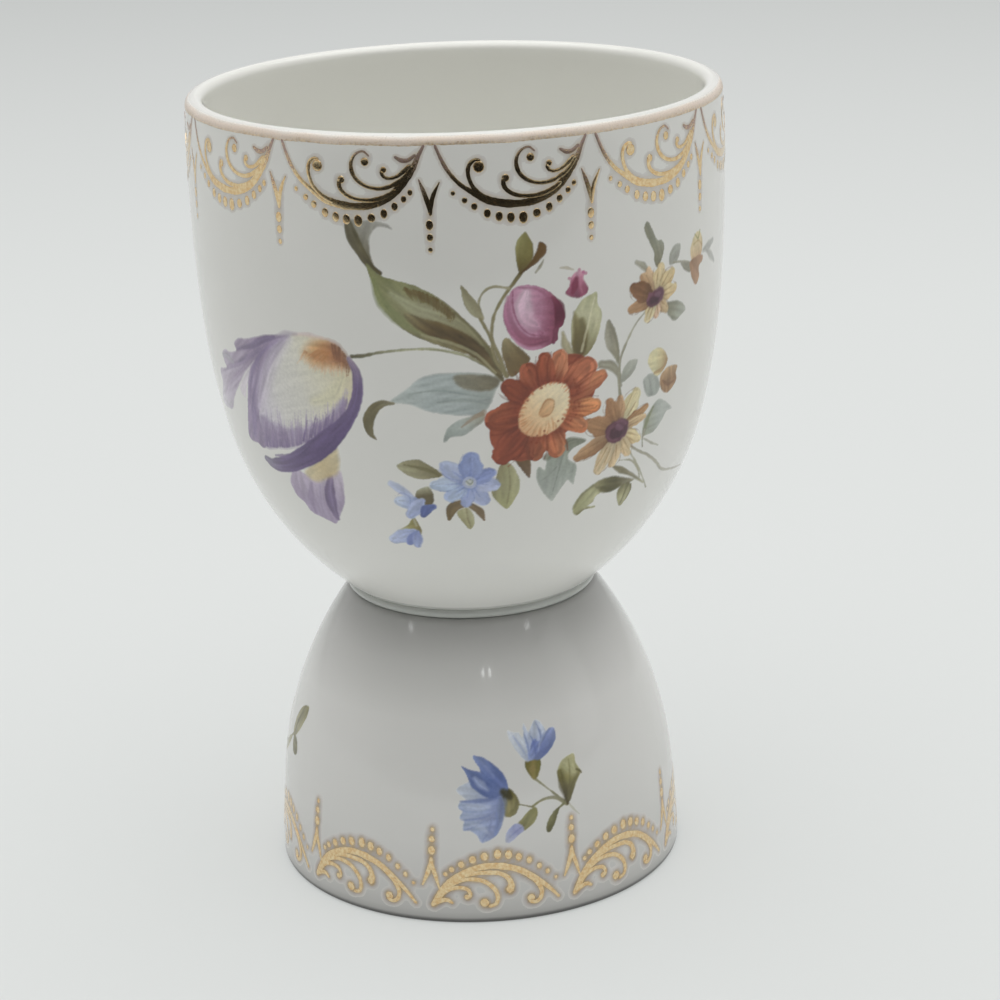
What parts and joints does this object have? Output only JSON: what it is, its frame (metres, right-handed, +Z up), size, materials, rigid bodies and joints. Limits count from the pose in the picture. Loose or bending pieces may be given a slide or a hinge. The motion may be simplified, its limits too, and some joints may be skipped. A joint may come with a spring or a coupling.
{
  "type": "double egg cup",
  "caption": "Two-ended porcelain egg cup: a large bowl over a small inverted bowl joined at a narrow waist, with gilt festoon borders and painted flower sprays.",
  "frame": {"origin": "centre of the circle on which the small bowl's rim stands", "axes": "+Z up the cup's axis towards the large bowl's lip; -Y towards the front of the decoration"},
  "size_m": [0.0624, 0.0624, 0.095],
  "materials": {
    "porcelain": "clear glossy glaze over white porcelain",
    "slip": "wiped slip under pooled glaze",
    "gilding": "fired liquid gold, bright, slightly worn",
    "violet_enamel": "fired overglaze enamel",
    "red_enamel": "fired overglaze enamel",
    "rose_enamel": "fired overglaze enamel",
    "tan_enamel": "fired overglaze enamel",
    "blue_enamel": "fired overglaze enamel",
    "green_enamel": "fired overglaze enamel"
  },
  "bodies": {
    "root": {"egg_bowl": "porcelain", "foot_bowl": "porcelain", "luting_slip": "slip", "lip_gilding": "gilding", "bowl_gilt_festoons": "gilding", "bowl_gilt_beads": "gilding", "bowl_gilt_pendants": "gilding", "foot_gilt_festoons": "gilding", "foot_gilt_beads": "gilding", "foot_gilt_pendants": "gilding", "tulip_enamel": "violet_enamel", "red_flower_enamel": "red_enamel", "rosebud_enamel": "rose_enamel", "daisy_enamel": "tan_enamel", "forget_me_not_enamel": "blue_enamel", "bouquet_leaf_enamel": "green_enamel", "back_spray_enamel": "rose_enamel", "cornflower_enamel": "blue_enamel", "foot_leaf_enamel": "green_enamel"}
  },
  "joints": []
}
